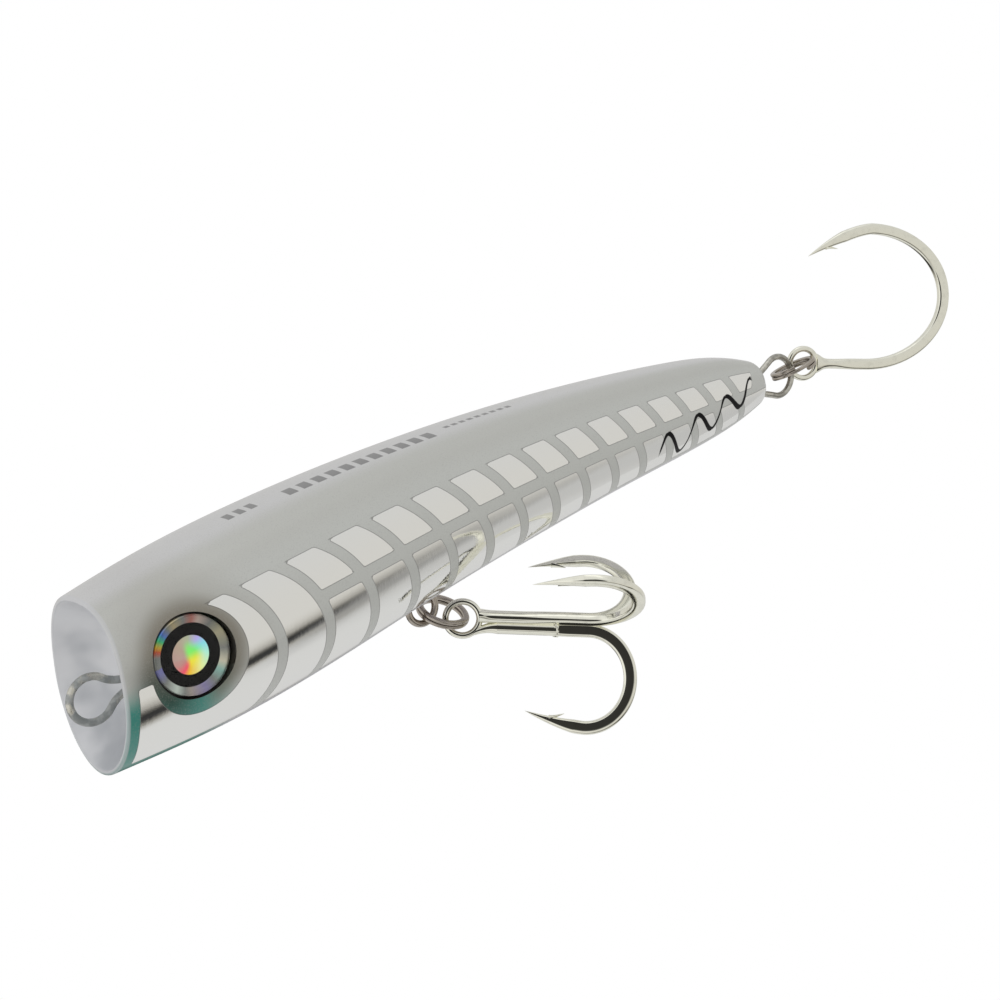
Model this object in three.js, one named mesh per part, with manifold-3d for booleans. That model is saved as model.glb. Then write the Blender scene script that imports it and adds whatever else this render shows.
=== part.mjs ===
// Topwater popper: a hollow two-shell lure on a through wire, with a treble on the belly and a
// single hook on the tail. Millimetres. +X points out of the mouth, +Y to the lure's left and +Z to
// its back. The pieces are drawn from the middle of the mouth rim, with "aft" distances along -X, and
// the finished group is moved so that its origin is the seat of the line, inside the nose loop's crown.
import * as THREE from "three";
import { mergeVertices } from "three/addons/utils/BufferGeometryUtils.js";
import Module from "manifold-3d";

// Body outline: aft station, height of the back and depth of the belly from the origin's level.
const LENGTH = 185.1;
const BACK = [
  [0, 17.2], [20, 19.7], [45, 21.4], [75, 21.6], [105, 20.2],
  [135, 17.2], [160, 13.5], [178, 9], [LENGTH, 5.85],
];
const BELLY = [
  [0, 17.2], [20, 17.9], [45, 16.6], [75, 13.3], [105, 10.7],
  [135, 9], [160, 8.1], [178, 6.3], [LENGTH, 4.85],
];
const TAIL_END = [[0.96, LENGTH - 0.7], [0.87, LENGTH - 0.2], [0.74, LENGTH], [0, LENGTH]]; // share, aft
const WIDTH_TO_HEIGHT = 0.946;
const BACK_ROUNDNESS = 2.5; // exponent of the section above its middle: 2 is an ellipse
const BELLY_ROUNDNESS = 1.93;
const RIM_SLANT = 2.7; // the upper lip sits this far aft and the lower lip this far forward
const RIM_DISH_HIGH = 0.9; // both lips lie further aft than a flat rim by this
const RIM_DISH_WIDE = 1.3; // and so do the two sides
const RIM_FADE = 40; // the rim's slant is gone this far aft
const CUP_DEPTH = 12;
const CUP_SQUARENESS = 2.4; // exponent of the cup's profile: 2 is a parabola
const RIM_INNER = 0.95; // the rim's flat land starts at this share of the radius
const WALL = 2.2;
const SEAM_GAP = 0.2; // between the two shells
const GAP = 0.3; // between a shell and what it holds

// Wires and hooks.
const WIRE = 0.78; // radius of the through wire and of the belly hanger
const WIRE_SIDES = 8;
// A loop sweeps this many degrees each way, and its strands have come together a neck's length behind it.
const NOSE_LOOP = { aft: 1, up: -2.6, radius: 4.46, sweep: 145, neck: 3, pieces: 17 };
const TAIL_LOOP = { aft: 193.8, up: -0.7, radius: 4.87, sweep: 118, neck: 7, pieces: 15 };
const STRAND = 1.15; // half the spacing of the two strands behind a loop
const RETURN_LEG = 26; // length of wire folded back inside the body
const HANGER = { aft: 76.4, up: -15.1, radius: 3.5 };
const HANGER_OVER = 2.6; // the hanger's top passes over the through wire at this height
// One half of the hanger from its butt joint down: forward, to the side, and up from the through wire.
const HANGER_HALF = [
  [0, 0.25, HANGER_OVER], [0, 1.5, 2.1], [0, 2.1, 0], [0.6, 1.9, -3], [1.9, 1.1, -6.5], [3, 0.3, -9.5],
];
const RING = { radius: 5.3, wide: 0.6, thick: 0.42, pitch: 0.98, turns: 1.9 };
const BELLY_RING = { centre: [-81.3, 0.1, -18.15], axis: [-0.288, 0.45, 0.845], start: 2.3 };
const TAIL_RING = { centre: [-200.7, -0.95, -0.87], axis: [0.123, -0.222, 0.967], start: 1.2 };
const TREBLE = {
  eye: [-83.15, 4.25, -19.8], along: [-0.758, 0.598, -0.261], down: [0.339, 0.02, -0.94],
  wire: 1.15, shank: 1.34, bend: 27.4, reach: 9.5, gape: 23, tipBack: 13.1, tipIn: 19.7, braze: 7.5,
};
const SINGLE = {
  eye: [-204.8, -1.4, -0.87], along: [-0.894, 0.344, -0.287], down: [-0.3, 0.018, 0.954],
  wire: 1.3, shank: 0, bend: 17.7, reach: 21.8, gape: 34.5, tipBack: 17.6, tipIn: 27,
};
const HOOK_EYE = { radius: 3.7, wire: 0.72 };
const SHANK_START = HOOK_EYE.radius + 0.2;
const COLLAR = { radius: 1.4, length: 3, middle: SHANK_START + 1 }; // joins the treble's eye to its shanks
const POINT_LENGTH = 0.1; // share of a hook's length over which it tapers
const THIRD = (2 * Math.PI) / 3;

// Eyes, ballast and rattle.
const EYE = { aft: 16.2, up: 2.9, floor: 14.2, socket: 8.2, boss: 10 }; // floor: from the lure's middle
const DISC = { radius: 7.7, thick: 0.7, ledge: 0.5, ledgeFrom: 6.9, ledgeFoot: 6.1 };
const LENS = { radius: 7.6, edge: 0.5, dome: 1.1 };
const BULKHEADS = [40, 66, 112, 138, 162]; // aft station of each rib across the shells
const BULKHEAD = 2.4;
const PEG = { radius: 1.5, reach: 3, up: 7.5, stations: [40, 112, 138] };
const CAVITY = { from: 14, to: 172 }; // the cavity's full width lies between these stations
const HANGER_BLOCK = { from: 68, to: 86, halfWide: 5, top: 1.5 }; // solid plastic round the hanger
const BELLY_WEIGHT = { from: 90, to: 110, radius: 2.8, up: -5.4 };
const TAIL_WEIGHT = { from: 142, to: 160, radius: 2.6, up: 4.9 };
const WEIGHT_BLOCK = { halfWide: 5, past: 1 }; // the block that holds a weight
const RATTLE = { from: 78, to: 106, radius: 4.6, up: 9, wall: 2, ball: 4, ballAft: 92 };
const RATTLE_BLOCK = { halfWide: 7, below: 6 };
const BEYOND = 60; // a cutting block's reach past the body

const wasm = await Module();
wasm.setup();

// A natural cubic spline through [station, value] pairs, as a function of the station.
function smooth(pairs) {
  const x = pairs.map((pair) => pair[0]);
  const y = pairs.map((pair) => pair[1]);
  const last = x.length - 1;
  const bend = new Array(x.length).fill(0);
  const share = new Array(x.length).fill(0);
  for (let i = 1; i < last; i++) {
    const span = x[i + 1] - x[i - 1];
    const left = (x[i] - x[i - 1]) / span;
    const pivot = left * share[i - 1] + 2;
    const jump = (y[i + 1] - y[i]) / (x[i + 1] - x[i]) - (y[i] - y[i - 1]) / (x[i] - x[i - 1]);
    share[i] = (left - 1) / pivot;
    bend[i] = ((6 * jump) / span - left * bend[i - 1]) / pivot;
  }
  for (let i = last - 1; i > 0; i--) bend[i] += share[i] * bend[i + 1];
  return (at) => {
    let i = 0;
    while (i < last - 1 && at > x[i + 1]) i++;
    const step = x[i + 1] - x[i];
    const a = (x[i + 1] - at) / step;
    const b = (at - x[i]) / step;
    const curve = (a ** 3 - a) * bend[i] + (b ** 3 - b) * bend[i + 1];
    return a * y[i] + b * y[i + 1] + (curve * step * step) / 6;
  };
}

const back = smooth(BACK);
const belly = smooth(BELLY);

// The body's point at an aft station, a share of the section's radius and an angle up from the left.
function bodyPoint(aft, share, angle, inset) {
  const within = Math.min(Math.max(aft, 0), LENGTH);
  const middle = (back(within) - belly(within)) / 2;
  const half = (back(within) + belly(within)) / 2;
  const cos = Math.cos(angle);
  const sin = Math.sin(angle);
  const power = 2 / (sin > 0 ? BACK_ROUNDNESS : BELLY_ROUNDNESS);
  const wide = Math.sign(cos) * Math.abs(cos) ** power;
  const high = Math.sign(sin) * Math.abs(sin) ** power;
  const dish = RIM_DISH_HIGH * high * high + RIM_DISH_WIDE * wide * wide;
  const slant = RIM_SLANT * high * share + dish * share * share;
  const fade = Math.max(0, 1 - within / RIM_FADE) ** 2;
  return new THREE.Vector3(
    -(aft + slant * fade),
    (half * WIDTH_TO_HEIGHT - inset) * share * wide,
    middle + (half - inset) * share * high,
  );
}

const cupDepth = (share) => CUP_DEPTH * (1 - (share / RIM_INNER) ** CUP_SQUARENESS);

const lathe = (outline, around) =>
  new THREE.LatheGeometry(outline.map(([radius, height]) => new THREE.Vector2(radius, height)), around);

// Turns a lathe of (share of the radius, aft station) pairs into body coordinates.
function bodyLathe(outline, around, inset) {
  const geometry = lathe(outline, around);
  const position = geometry.getAttribute("position");
  for (let i = 0; i < position.count; i++) {
    const share = Math.hypot(position.getX(i), position.getZ(i));
    const angle = Math.atan2(position.getX(i), position.getZ(i));
    const point = bodyPoint(position.getY(i), share, angle, inset);
    position.setXYZ(i, point.x, point.y, point.z);
  }
  return geometry;
}

const steps = (from, to, count) =>
  Array.from({ length: count + 1 }, (_, i) => from + ((to - from) * i) / count);

function outerOutline() {
  const cup = steps(0, RIM_INNER, 7).map((share) => [share, cupDepth(share)]);
  const side = steps(0, LENGTH - 1.5, 21).map((aft) => [1, aft]);
  return [...cup, ...side, ...TAIL_END];
}

function cavityOutline() {
  const front = steps(0, RIM_INNER - 0.02, 5).map((share) => [share, cupDepth(share) + WALL * 1.2]);
  const side = steps(CAVITY.from, CAVITY.to, 10).map((aft) => [1, aft]);
  return [...front, ...side, [0, CAVITY.to]];
}

// A round or flat rod swept along points. `axis` is square to the plane the points run in, and
// `size` gives the half width in that plane and the half thickness along the axis at each point.
function rod(points, axis, size, sides = WIRE_SIDES) {
  const rows = points.length - 1;
  const geometry = new THREE.CylinderGeometry(1, 1, rows, sides, rows);
  const position = geometry.getAttribute("position");
  const turn = Math.PI / sides;
  const square = sides === 4 ? Math.SQRT2 : 1;
  for (let i = 0; i < position.count; i++) {
    const row = Math.round(position.getY(i) + rows / 2);
    const tangent = points[Math.min(row + 1, rows)].clone().sub(points[Math.max(row - 1, 0)]).normalize();
    const across = new THREE.Vector3().crossVectors(tangent, axis).normalize();
    const out = new THREE.Vector3().crossVectors(across, tangent);
    const radius = Math.hypot(position.getX(i), position.getZ(i)) * square;
    const angle = Math.atan2(position.getZ(i), position.getX(i)) + turn;
    const [wide, thick] = size(row / rows);
    const point = points[row].clone();
    point.addScaledVector(across, wide * radius * Math.cos(angle));
    point.addScaledVector(out, thick * radius * Math.sin(angle));
    position.setXYZ(i, point.x, point.y, point.z);
  }
  return geometry;
}

const evenly = (radius) => () => [radius, radius];

// Manifold solids, for joins and cuts.
function solid(geometry) {
  const bare = geometry.clone();
  bare.deleteAttribute("normal");
  bare.deleteAttribute("uv");
  const merged = mergeVertices(bare, 1e-4);
  const mesh = new wasm.Mesh({
    numProp: 3,
    vertProperties: new Float32Array(merged.getAttribute("position").array),
    triVerts: new Uint32Array(merged.getIndex().array),
  });
  const made = new wasm.Manifold(mesh);
  return made.volume() < 0 ? solid(flipped(geometry)) : made;
}

function flipped(geometry) {
  const copy = geometry.clone();
  const index = Array.from(copy.getIndex().array);
  for (let i = 0; i < index.length; i += 3) [index[i], index[i + 1]] = [index[i + 1], index[i]];
  copy.setIndex(index);
  return copy;
}

function geometryOf(made) {
  const mesh = made.getMesh();
  const geometry = new THREE.BufferGeometry();
  geometry.setAttribute("position", new THREE.BufferAttribute(new Float32Array(mesh.vertProperties), 3));
  geometry.setIndex(new THREE.BufferAttribute(new Uint32Array(mesh.triVerts), 1));
  geometry.computeVertexNormals();
  return geometry;
}

function box(lowX, highX, lowY, highY, lowZ, highZ) {
  const geometry = new THREE.BoxGeometry(highX - lowX, highY - lowY, highZ - lowZ);
  return solid(geometry.translate((lowX + highX) / 2, (lowY + highY) / 2, (lowZ + highZ) / 2));
}

// A cylinder along X between two aft stations.
function slug(from, to, radius, up, sides = 20) {
  const geometry = new THREE.CylinderGeometry(radius, radius, to - from, sides);
  return geometry.rotateZ(Math.PI / 2).translate(-(from + to) / 2, 0, up);
}

// A cylinder along Y.
function crossPin(aft, up, radius, lowY, highY, sides = 24) {
  const geometry = new THREE.CylinderGeometry(radius, radius, highY - lowY, sides);
  return geometry.translate(-aft, (lowY + highY) / 2, up);
}

// Points round a loop in the XZ plane; angles are measured from +X towards +Z.
function arc(centre, radius, from, to, count) {
  return steps(from, to, count).map(
    (angle) => new THREE.Vector3(centre.x + radius * Math.cos(angle), 0, centre.z + radius * Math.sin(angle)),
  );
}

const flat = (aft, up) => new THREE.Vector3(-aft, 0, up);

// A loop's arc, centred on the direction it faces.
function loopArc(loop, facing) {
  const sweep = THREE.MathUtils.degToRad(loop.sweep);
  return arc({ x: -loop.aft, z: loop.up }, loop.radius, facing - sweep, facing + sweep, loop.pieces);
}

function throughWirePoints() {
  const noseNeck = NOSE_LOOP.aft + NOSE_LOOP.radius + NOSE_LOOP.neck;
  const tailNeck = TAIL_LOOP.aft - TAIL_LOOP.radius - TAIL_LOOP.neck;
  return [
    flat(noseNeck + RETURN_LEG, NOSE_LOOP.up - STRAND),
    flat(noseNeck, NOSE_LOOP.up - STRAND),
    ...loopArc(NOSE_LOOP, 0),
    flat(noseNeck, NOSE_LOOP.up + STRAND),
    flat(noseNeck + RETURN_LEG, NOSE_LOOP.up + STRAND),
    flat(tailNeck - RETURN_LEG, TAIL_LOOP.up + STRAND),
    flat(tailNeck, TAIL_LOOP.up + STRAND),
    ...loopArc(TAIL_LOOP, Math.PI),
    flat(tailNeck, TAIL_LOOP.up - STRAND),
    flat(tailNeck - RETURN_LEG, TAIL_LOOP.up - STRAND),
  ];
}

// How far ahead of the loop's centre the flat inner face of its foremost piece lies.
function loopCrown(loop) {
  const inner = loop.radius - WIRE * Math.cos(Math.PI / WIRE_SIDES);
  return inner * Math.cos(THREE.MathUtils.degToRad(loop.sweep) / loop.pieces);
}

const AXIS_Y = new THREE.Vector3(0, 1, 0);
const WIRE_LEVEL = NOSE_LOOP.up + STRAND;

function throughWire(radius) {
  return rod(throughWirePoints(), AXIS_Y, evenly(radius));
}

// The hanger bends over the through wire, turns a quarter on its way down and leaves the belly as a
// loop in line with the body; its two ends butt at the top, a hair apart.
function hanger(radius) {
  const half = HANGER_HALF.map(([forward, side, up]) => [forward, side, WIRE_LEVEL + up]);
  const loop = steps(0, Math.PI / 2, 4).map((angle) => [
    HANGER.radius * Math.cos(angle), 0, HANGER.up - HANGER.radius * Math.sin(angle),
  ]);
  const down = [...half, ...loop];
  const up = down.slice(0, -1).reverse().map(([x, y, z]) => [-x, -y, z]);
  const points = [...down, ...up].map(([x, y, z]) => new THREE.Vector3(x - HANGER.aft, y, z));
  const section = new THREE.Shape().absarc(0, 0, radius, 0, 2 * Math.PI);
  return new THREE.ExtrudeGeometry(section, {
    steps: 36, curveSegments: 3, bevelEnabled: false, extrudePath: new THREE.CatmullRomCurve3(points),
  });
}

// A split ring: a flat wire coiled twice about its axis.
function splitRing({ centre, axis, start }) {
  const up = new THREE.Vector3(...axis).normalize();
  const first = new THREE.Vector3(1, 0, 0).addScaledVector(up, -up.x).normalize();
  const second = new THREE.Vector3().crossVectors(up, first);
  const points = steps(-RING.turns / 2, RING.turns / 2, 38).map((turn) => {
    const angle = start + 2 * Math.PI * turn;
    return new THREE.Vector3(...centre)
      .addScaledVector(first, RING.radius * Math.cos(angle))
      .addScaledVector(second, RING.radius * Math.sin(angle))
      .addScaledVector(up, RING.pitch * turn);
  });
  return rod(points, up, () => [RING.wide, RING.thick], 4);
}

// A hook in its own plane: along the shank from the eye, round the bend and back to the point.
function hookLine(hook, from) {
  const middle = (hook.gape + hook.shank) / 2;
  const rise = (hook.gape - hook.shank) / 2;
  const bend = steps(-Math.PI / 2, Math.PI / 2, 14).map((angle) => [
    hook.bend + hook.reach * Math.cos(angle), middle + rise * Math.sin(angle),
  ]);
  const sag = (hook.gape - hook.tipIn) * 0.35;
  return [
    [from, hook.shank],
    ...bend,
    [hook.bend - hook.tipBack * 0.5, hook.gape - sag],
    [hook.bend - hook.tipBack, hook.tipIn],
  ];
}

function hookFrame(hook, turn) {
  const along = new THREE.Vector3(...hook.along).normalize();
  const down = new THREE.Vector3(...hook.down);
  down.addScaledVector(along, -along.dot(down)).normalize().applyAxisAngle(along, turn);
  const axis = new THREE.Vector3().crossVectors(along, down);
  return { eye: new THREE.Vector3(...hook.eye), along, down, axis };
}

// One hook of round wire that tapers to its point over the last part of its length.
function hookRod(hook, turn, from) {
  const { eye, along, down, axis } = hookFrame(hook, turn);
  const points = hookLine(hook, from).map(([a, b]) =>
    eye.clone().addScaledVector(along, a).addScaledVector(down, b),
  );
  const taper = (share) => {
    const radius = hook.wire * Math.min(1, 0.1 + (0.9 * (1 - share)) / POINT_LENGTH);
    return [radius, radius];
  };
  return solid(rod(points, axis, taper, 6));
}

function hookEye(hook) {
  const { eye, along, axis } = hookFrame(hook, 0);
  const ring = new THREE.TorusGeometry(HOOK_EYE.radius, HOOK_EYE.wire, 6, 20);
  const turn = new THREE.Matrix4().makeBasis(along, new THREE.Vector3().crossVectors(axis, along), axis);
  return solid(ring.applyMatrix4(turn).translate(eye.x, eye.y, eye.z));
}

function trebleDouble() {
  const first = hookRod(TREBLE, THIRD, SHANK_START);
  const second = hookRod(TREBLE, -THIRD, SHANK_START);
  const { eye, along } = hookFrame(TREBLE, 0);
  const collar = new THREE.CylinderGeometry(COLLAR.radius, COLLAR.radius, COLLAR.length, 10);
  collar.applyQuaternion(new THREE.Quaternion().setFromUnitVectors(AXIS_Y, along));
  collar.translate(...eye.addScaledVector(along, COLLAR.middle).toArray());
  return geometryOf(hookEye(TREBLE).add(first).add(second).add(solid(collar)));
}

// The third hook's shank lies in the groove between the other two, clear of them by the braze.
function trebleThird() {
  return geometryOf(hookRod({ ...TREBLE, shank: TREBLE.shank + 2 * GAP }, 0, TREBLE.braze));
}

function singleHook() {
  return geometryOf(hookEye(SINGLE).add(hookRod(SINGLE, 0, SHANK_START)));
}

// Mirrors a piece drawn for the left side to the right one, by half a turn about the eye's middle.
function onSide(geometry, side) {
  return side > 0 ? geometry : geometry.rotateZ(Math.PI).translate(-2 * EYE.aft, 0, 0);
}

// What is left solid inside the body: ribs, and the blocks that hold the hanger, weights and rattle.
function innerBlocks() {
  const half = BULKHEAD / 2;
  const ribs = BULKHEADS.map((aft) => box(-aft - half, -aft + half, -BEYOND, BEYOND, -BEYOND, BEYOND));
  const hold = HANGER_BLOCK;
  const wide = WEIGHT_BLOCK.halfWide;
  const past = WEIGHT_BLOCK.past;
  const chamber = RATTLE_BLOCK.halfWide;
  const chamberFloor = RATTLE.up - RATTLE_BLOCK.below;
  return [
    ...ribs,
    box(-hold.to, -hold.from, -hold.halfWide, hold.halfWide, -BEYOND, hold.top),
    box(-RATTLE.to - RATTLE.wall, -RATTLE.from + RATTLE.wall, -chamber, chamber, chamberFloor, BEYOND),
    box(-BELLY_WEIGHT.to - past, -BELLY_WEIGHT.from + past, -wide, wide, -BEYOND, BELLY_WEIGHT.up + past),
    box(-TAIL_WEIGHT.to - past, -TAIL_WEIGHT.from + past, -wide, wide, TAIL_WEIGHT.up - past, BEYOND),
  ];
}

// The pocket a weight sits in.
function weightPocket(weight) {
  return slug(weight.from - GAP, weight.to + GAP, weight.radius + GAP, weight.up, 16);
}

// What both shells share, before the seam divides them.
function bodyBlank() {
  let hollow = solid(bodyLathe(cavityOutline(), 16, WALL));
  for (const block of innerBlocks()) hollow = hollow.subtract(block);
  for (const side of [1, -1]) {
    const boss = crossPin(EYE.aft, EYE.up, EYE.boss, EYE.floor - WALL, EYE.floor + 10);
    hollow = hollow.subtract(solid(onSide(boss, side)));
  }
  const cuts = [
    throughWire(WIRE + GAP),
    hanger(WIRE + GAP),
    crossPin(HANGER.aft, WIRE_LEVEL + HANGER_OVER, WIRE + GAP, -1, 1, 12),
    weightPocket(BELLY_WEIGHT),
    weightPocket(TAIL_WEIGHT),
    slug(RATTLE.from, RATTLE.to, RATTLE.radius, RATTLE.up, 16),
  ];
  for (const side of [1, -1]) {
    cuts.push(onSide(crossPin(EYE.aft, EYE.up, EYE.socket, EYE.floor, EYE.floor + 10, 32), side));
  }
  let blank = solid(bodyLathe(outerOutline(), 28, 0)).subtract(hollow);
  for (const cut of cuts) blank = blank.subtract(solid(cut));
  return blank;
}

function shells() {
  const blank = bodyBlank();
  const seam = SEAM_GAP / 2;
  let left = blank.intersect(box(-LENGTH - BEYOND, BEYOND, seam, BEYOND, -BEYOND, BEYOND));
  let right = blank.intersect(box(-LENGTH - BEYOND, BEYOND, -BEYOND, -seam, -BEYOND, BEYOND));
  for (const aft of PEG.stations) {
    left = left.add(solid(crossPin(aft, PEG.up, PEG.radius, -PEG.reach, PEG.reach, 12)));
    right = right.subtract(solid(crossPin(aft, PEG.up, PEG.radius + GAP, -PEG.reach - GAP, 1, 12)));
  }
  return { left: geometryOf(left), right: geometryOf(right) };
}

// The printed disc, with a raised ledge round it that carries the lens.
function eyeDisc(side) {
  const high = DISC.thick + DISC.ledge;
  const outline = [
    [0, 0], [DISC.radius, 0], [DISC.radius, high], [DISC.ledgeFrom, high],
    [DISC.ledgeFoot, DISC.thick], [0, DISC.thick],
  ];
  return onSide(lathe(outline, 20).translate(-EYE.aft, EYE.floor + GAP, EYE.up), side);
}

// A clear dome whose flat underside clears the disc's ledge.
function eyeLens(side) {
  const base = EYE.floor + GAP + DISC.thick + DISC.ledge + GAP;
  const domeUp = (share) => LENS.edge + LENS.dome * (1 - share * share);
  const rise = steps(1, 0, 5).map((share) => [LENS.radius * share, domeUp(share)]);
  const outline = [[0, 0], [LENS.radius, 0], ...rise];
  return onSide(lathe(outline, 20).translate(-EYE.aft, base, EYE.up), side);
}

const object = new THREE.Group();

function piece(name, geometry, color, roughness, metalness, opacity = 1) {
  const finish = { color, roughness, metalness, opacity, transparent: opacity < 1 };
  const mesh = new THREE.Mesh(geometry, new THREE.MeshStandardMaterial(finish));
  mesh.name = name;
  object.add(mesh);
}

const body = shells();
piece("left_shell", body.left, 0xb9b8b5, 0.3, 0.6);
piece("right_shell", body.right, 0xb9b8b5, 0.3, 0.6);
piece("through_wire", throughWire(WIRE), 0xb5b3ad, 0.3, 1);
piece("belly_hanger", hanger(WIRE), 0x9a948a, 0.3, 1);
piece("belly_split_ring", splitRing(BELLY_RING), 0x8c857a, 0.35, 1);
piece("tail_split_ring", splitRing(TAIL_RING), 0x8c857a, 0.35, 1);
piece("treble_double_hook", trebleDouble(), 0xd4d3cf, 0.2, 1);
piece("treble_third_hook", trebleThird(), 0xd4d3cf, 0.2, 1);
piece("single_hook", singleHook(), 0xd4d3cf, 0.2, 1);
for (const [side, word] of [[1, "left"], [-1, "right"]]) {
  piece(`${word}_eye_disc`, eyeDisc(side), 0xc8c8d0, 0.2, 0.9);
  piece(`${word}_eye_lens`, eyeLens(side), 0xffffff, 0.05, 0, 0.3);
}
for (const [name, weight] of [["belly_weight", BELLY_WEIGHT], ["tail_weight", TAIL_WEIGHT]]) {
  piece(name, slug(weight.from, weight.to, weight.radius, weight.up), 0x77797c, 0.6, 0.8);
}
const ball = new THREE.SphereGeometry(RATTLE.ball, 12, 8);
piece("rattle_ball", ball.translate(-RATTLE.ballAft, 0, RATTLE.up), 0xc0c0c0, 0.2, 1);

// The origin moves to the seat of the line.
object.position.set(NOSE_LOOP.aft - loopCrown(NOSE_LOOP), 0, -NOSE_LOOP.up);

export default object;
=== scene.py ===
import math

import bmesh
import bpy
import numpy as np
from mathutils import Matrix, Vector


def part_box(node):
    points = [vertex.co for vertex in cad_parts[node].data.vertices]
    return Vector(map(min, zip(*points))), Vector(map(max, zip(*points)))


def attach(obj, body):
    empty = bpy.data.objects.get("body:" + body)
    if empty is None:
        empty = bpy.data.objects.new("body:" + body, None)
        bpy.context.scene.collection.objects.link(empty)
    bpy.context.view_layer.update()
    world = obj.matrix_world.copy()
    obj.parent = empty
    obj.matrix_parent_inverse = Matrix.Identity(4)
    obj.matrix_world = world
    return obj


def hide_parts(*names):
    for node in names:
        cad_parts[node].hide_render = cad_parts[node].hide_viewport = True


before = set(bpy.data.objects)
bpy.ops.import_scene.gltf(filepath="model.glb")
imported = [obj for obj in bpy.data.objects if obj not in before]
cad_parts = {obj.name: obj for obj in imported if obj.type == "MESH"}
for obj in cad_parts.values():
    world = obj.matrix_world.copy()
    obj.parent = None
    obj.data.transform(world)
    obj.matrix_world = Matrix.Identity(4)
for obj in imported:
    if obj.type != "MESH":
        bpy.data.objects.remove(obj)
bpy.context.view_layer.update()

# Body outline: aft stations, with the height of the back and the depth of the belly at each.
LENGTH = 185.1
STATIONS = (0, 20, 45, 75, 105, 135, 160, 178, LENGTH)
BACK = (17.2, 19.7, 21.4, 21.6, 20.2, 17.2, 13.5, 9, 5.85)
BELLY = (17.2, 17.9, 16.6, 13.3, 10.7, 9, 8.1, 6.3, 4.85)
WIDTH_TO_HEIGHT = 0.946
BACK_ROUNDNESS = 2.5
BELLY_ROUNDNESS = 1.93
ROUNDNESS_BLEND = 0.35  # the two roundnesses meet over this sine of the section angle
RIM_SLANT = 2.7  # how far aft of its middle the rim's top lies
RIM_DISH_HIGH = 0.9  # how far the rim curves aft towards its top and bottom
RIM_DISH_WIDE = 1.3  # and towards its sides
RIM_FADE = 40  # slant and dish die out over this length of the body
RIM_RADIUS = 17.2
RIM_INNER = 0.95  # share of the rim's radius at which the cup begins
CUP_DEPTH = 12
CUP_SQUARENESS = 2.4
LIP = 0.42  # rounding of the rim's edges
TAIL_ROUND = 2.0  # length of the tail's rounded edge
TAIL_SHARE = 0.74  # share of the radius that is flat at the tail's end
SEAM = 0.01  # half the gap between the shells
WALL = 2.2

# Hollows in the shells: bays between the ribs, and round pockets along the body.
BAYS = ((15, 38.8), (41.2, 64.8), (113.2, 136.8), (163.2, 172))
POCKETS = (  # start, end, radius, up
    (78, 106, 4.6, 9),  # the rattle ball's
    (89.7, 110.3, 3.1, -5.4),  # the belly weight's
    (141.7, 160.3, 2.9, 4.9),  # the tail weight's
)

EYE_AFT = 16.2
EYE_UP = 2.9
SOCKET = 8.2
SOCKET_FLOOR = 14.2  # distance of the socket's floor from the seam
DISC = {"radius": 7.7, "pupil": 3.7, "ring": 6.0}
LENS_RADIUS = 7.6
ROUND_SIDES = 128  # corners round the eye's parts

# Foil panels on each side. Heights given as shares are shares of the body's half height.
PANEL_TOP = 0.54
PANEL_TOP_SLOPE = 1.15  # distance along the skin for each millimetre of height at the panels' top
PANEL_FOOT = math.radians(-57)
PANEL_FOOT_RISE = math.radians(10)  # from FOOT_RISES_FROM to the tail
FOOT_RISES_FROM = 90
# Grey bands cut the panels. A band's front edge is an arc that bulges aft.
BAND_FRONT = [(0, 25.2), (3, 57.1), (7, 98.6), (11, 137.8), (14, 166.6)]  # band number, aft at the top
BANDS = 15
BAND_WIDTH = 2.45
BAND_ARC = {"radius": 16, "radius_step": 2.9, "up": -2, "up_step": -1.35}  # steps are from band to band
# A grey stripe runs along the side; its top and foot fall by these shares over a length.
STRIPE = {
    "start": 43.5, "top": 0.12, "foot": -0.01, "from": 45, "over": 97, "top_fall": 0.04, "foot_fall": 0.11,
}
SURROUND = {"aft": 16.3, "up": 1.75, "radius": 10.4}  # paint round the eye
FOIL_FRONT = {"aft": 2.4, "lean": 0.4, "low": -8, "high": 1}  # leans aft between two heights
FRONT_PAINT = {"foot": 1.2, "end": 14.5}  # ahead of the eye there is no foil above this height
LAST_PANEL = {"end": 176.2, "slant": 0.45}
# Rows of bars on the back: start, end, pitch, length, distance from the ridge, height.
MARKS = ((36, 44.1, 2.7, 1.4, 2.4, 3.4), (49.5, 88, 3.5, 2, 3.9, 3.6), (91, 109.9, 2.1, 1.1, 2.6, 1.3))

WIRE = 0.78
# A loop sweeps an angle each way, and its strands come together a neck's length behind it.
NOSE_LOOP = {"aft": 1, "up": -2.6, "radius": 4.46, "sweep": math.radians(138), "neck": 3}
TAIL_LOOP = {"aft": 193.8, "up": -0.7, "radius": 4.87, "sweep": math.radians(118), "neck": 7}
LOOP_POINTS = 24
STRAND = 1.15  # half the spacing of the two strands behind a loop
RETURN_LEG = 26  # length of wire folded back inside the body
STRAND_POINTS = (0, 6, RETURN_LEG)  # distances from the neck that keep a strand straight
HANGER = {"aft": 76.4, "up": -15.1, "radius": 3.5}
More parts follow.
